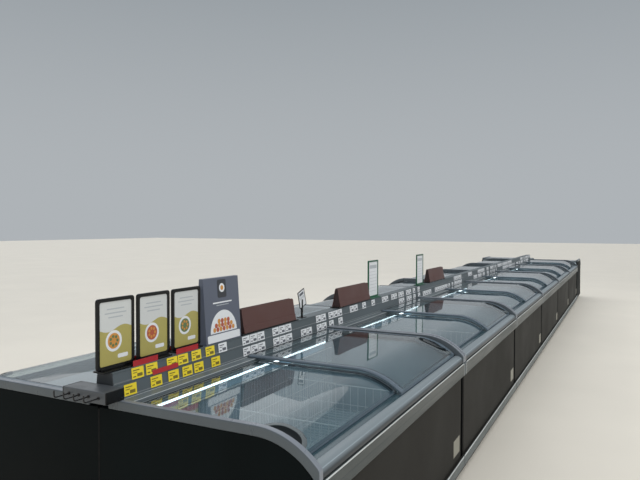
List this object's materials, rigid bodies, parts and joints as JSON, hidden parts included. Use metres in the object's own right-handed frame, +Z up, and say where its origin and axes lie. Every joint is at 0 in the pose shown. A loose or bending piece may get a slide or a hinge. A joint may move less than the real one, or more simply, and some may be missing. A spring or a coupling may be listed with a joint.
{
  "type": "supermarket freezer island",
  "caption": "Long double island of chest freezers with sliding curved glass lids, a cross freezer at one end, bumper rails and a central price carrier with displays.",
  "frame": {"origin": "on the floor, under the middle of the whole outline", "axes": "+Y along the two rows towards the cross freezer at the far end, +X across them to the right-hand row, +Z up"},
  "size_m": [2.1, 13.8, 1.346],
  "materials": {
    "dark_plastic": "matt",
    "dark_steel": "satin powder coat",
    "liner": "satin white",
    "trim_plastic": "satin",
    "panel_steel": "fine powder coat",
    "rail_plastic": "satin",
    "rail_caps": "satin",
    "front_trim": "satin",
    "ledge_plastic": "satin",
    "light_strip": "translucent white",
    "white_wire": "plastic-coated wire",
    "black_rubber": "matt",
    "spine_steel": "satin powder coat",
    "black_plastic": "satin",
    "poster_card": "printed card",
    "slate_card": "printed board",
    "brown_board": "satin",
    "green_steel": "satin",
    "white_card": "plain card",
    "black_wire": "satin",
    "lid_glass": "clear glass in a dark grey frame"
  },
  "bodies": {
    "island": {"plinths": "dark_plastic", "base_housings": "dark_steel", "tank_floors": "liner", "tank_back_walls": "liner", "tank_front_walls": "liner", "tank_end_walls": "liner", "side_walls": "dark_steel", "end_trims": "trim_plastic", "front_panels": "panel_steel", "bumper_rails": "rail_plastic", "bumper_caps": "rail_caps", "kick_rails": "rail_plastic", "front_trims": "front_trim", "back_ledges": "ledge_plastic", "led_strips": "light_strip", "divider_frames": "white_wire", "joint_strips": "black_rubber", "spine_housings": "spine_steel", "spine_end_cap": "spine_steel", "poster_frames": "black_plastic", "posters": "poster_card", "display_stand": "slate_card", "sign_boards": "brown_board", "sign_feet": "black_plastic", "list_frames": "green_steel", "list_cards": "white_card", "price_flags": "white_card", "hook_box": "spine_steel", "bag_hooks": "black_wire"},
    "right_1_lower_lid": {"right_1_lower_lid": "lid_glass"},
    "right_1_upper_lid": {"right_1_upper_lid": "lid_glass"},
    "right_2_lower_lid": {"right_2_lower_lid": "lid_glass"},
    "right_2_upper_lid": {"right_2_upper_lid": "lid_glass"},
    "right_3_lower_lid": {"right_3_lower_lid": "lid_glass"},
    "right_3_upper_lid": {"right_3_upper_lid": "lid_glass"},
    "right_4_lower_lid": {"right_4_lower_lid": "lid_glass"},
    "right_4_upper_lid": {"right_4_upper_lid": "lid_glass"},
    "right_5_lower_lid": {"right_5_lower_lid": "lid_glass"},
    "right_5_upper_lid": {"right_5_upper_lid": "lid_glass"},
    "right_6_lower_lid": {"right_6_lower_lid": "lid_glass"},
    "right_6_upper_lid": {"right_6_upper_lid": "lid_glass"},
    "left_1_lower_lid": {"left_1_lower_lid": "lid_glass"},
    "left_1_upper_lid": {"left_1_upper_lid": "lid_glass"},
    "left_2_lower_lid": {"left_2_lower_lid": "lid_glass"},
    "left_2_upper_lid": {"left_2_upper_lid": "lid_glass"},
    "left_3_lower_lid": {"left_3_lower_lid": "lid_glass"},
    "left_3_upper_lid": {"left_3_upper_lid": "lid_glass"},
    "left_4_lower_lid": {"left_4_lower_lid": "lid_glass"},
    "left_4_upper_lid": {"left_4_upper_lid": "lid_glass"},
    "left_5_lower_lid": {"left_5_lower_lid": "lid_glass"},
    "left_5_upper_lid": {"left_5_upper_lid": "lid_glass"},
    "left_6_lower_lid": {"left_6_lower_lid": "lid_glass"},
    "left_6_upper_lid": {"left_6_upper_lid": "lid_glass"},
    "head_lower_lid": {"head_lower_lid": "lid_glass"},
    "head_upper_lid": {"head_upper_lid": "lid_glass"}
  },
  "joints": [
    {"name": "right_1_lower_slide", "type": "slide", "parent": "island", "child": "right_1_lower_lid", "axis": [0, -1, 0], "range_m": [-0.985, 0]},
    {"name": "right_1_upper_slide", "type": "slide", "parent": "island", "child": "right_1_upper_lid", "axis": [0, -1, 0], "range_m": [0, 0.985]},
    {"name": "right_2_lower_slide", "type": "slide", "parent": "island", "child": "right_2_lower_lid", "axis": [0, -1, 0], "range_m": [-0.985, 0]},
    {"name": "right_2_upper_slide", "type": "slide", "parent": "island", "child": "right_2_upper_lid", "axis": [0, -1, 0], "range_m": [0, 0.985]},
    {"name": "right_3_lower_slide", "type": "slide", "parent": "island", "child": "right_3_lower_lid", "axis": [0, -1, 0], "range_m": [-0.985, 0]},
    {"name": "right_3_upper_slide", "type": "slide", "parent": "island", "child": "right_3_upper_lid", "axis": [0, -1, 0], "range_m": [0, 0.985]},
    {"name": "right_4_lower_slide", "type": "slide", "parent": "island", "child": "right_4_lower_lid", "axis": [0, -1, 0], "range_m": [-0.985, 0]},
    {"name": "right_4_upper_slide", "type": "slide", "parent": "island", "child": "right_4_upper_lid", "axis": [0, -1, 0], "range_m": [0, 0.985]},
    {"name": "right_5_lower_slide", "type": "slide", "parent": "island", "child": "right_5_lower_lid", "axis": [0, -1, 0], "range_m": [-0.985, 0]},
    {"name": "right_5_upper_slide", "type": "slide", "parent": "island", "child": "right_5_upper_lid", "axis": [0, -1, 0], "range_m": [0, 0.985]},
    {"name": "right_6_lower_slide", "type": "slide", "parent": "island", "child": "right_6_lower_lid", "axis": [0, -1, 0], "range_m": [-0.985, 0]},
    {"name": "right_6_upper_slide", "type": "slide", "parent": "island", "child": "right_6_upper_lid", "axis": [0, -1, 0], "range_m": [0, 0.985]},
    {"name": "left_1_lower_slide", "type": "slide", "parent": "island", "child": "left_1_lower_lid", "axis": [0, 1, 0], "range_m": [-0.985, 0]},
    {"name": "left_1_upper_slide", "type": "slide", "parent": "island", "child": "left_1_upper_lid", "axis": [0, 1, 0], "range_m": [0, 0.985]},
    {"name": "left_2_lower_slide", "type": "slide", "parent": "island", "child": "left_2_lower_lid", "axis": [0, 1, 0], "range_m": [-0.985, 0]},
    {"name": "left_2_upper_slide", "type": "slide", "parent": "island", "child": "left_2_upper_lid", "axis": [0, 1, 0], "range_m": [0, 0.985]},
    {"name": "left_3_lower_slide", "type": "slide", "parent": "island", "child": "left_3_lower_lid", "axis": [0, 1, 0], "range_m": [-0.985, 0]},
    {"name": "left_3_upper_slide", "type": "slide", "parent": "island", "child": "left_3_upper_lid", "axis": [0, 1, 0], "range_m": [0, 0.985]},
    {"name": "left_4_lower_slide", "type": "slide", "parent": "island", "child": "left_4_lower_lid", "axis": [0, 1, 0], "range_m": [-0.985, 0]},
    {"name": "left_4_upper_slide", "type": "slide", "parent": "island", "child": "left_4_upper_lid", "axis": [0, 1, 0], "range_m": [0, 0.985]},
    {"name": "left_5_lower_slide", "type": "slide", "parent": "island", "child": "left_5_lower_lid", "axis": [0, 1, 0], "range_m": [-0.985, 0]},
    {"name": "left_5_upper_slide", "type": "slide", "parent": "island", "child": "left_5_upper_lid", "axis": [0, 1, 0], "range_m": [0, 0.985]},
    {"name": "left_6_lower_slide", "type": "slide", "parent": "island", "child": "left_6_lower_lid", "axis": [0, 1, 0], "range_m": [-0.985, 0]},
    {"name": "left_6_upper_slide", "type": "slide", "parent": "island", "child": "left_6_upper_lid", "axis": [0, 1, 0], "range_m": [0, 0.985]},
    {"name": "head_lower_slide", "type": "slide", "parent": "island", "child": "head_lower_lid", "axis": [1, 0, 0], "range_m": [-0.985, 0]},
    {"name": "head_upper_slide", "type": "slide", "parent": "island", "child": "head_upper_lid", "axis": [1, 0, 0], "range_m": [0, 0.985]}
  ]
}
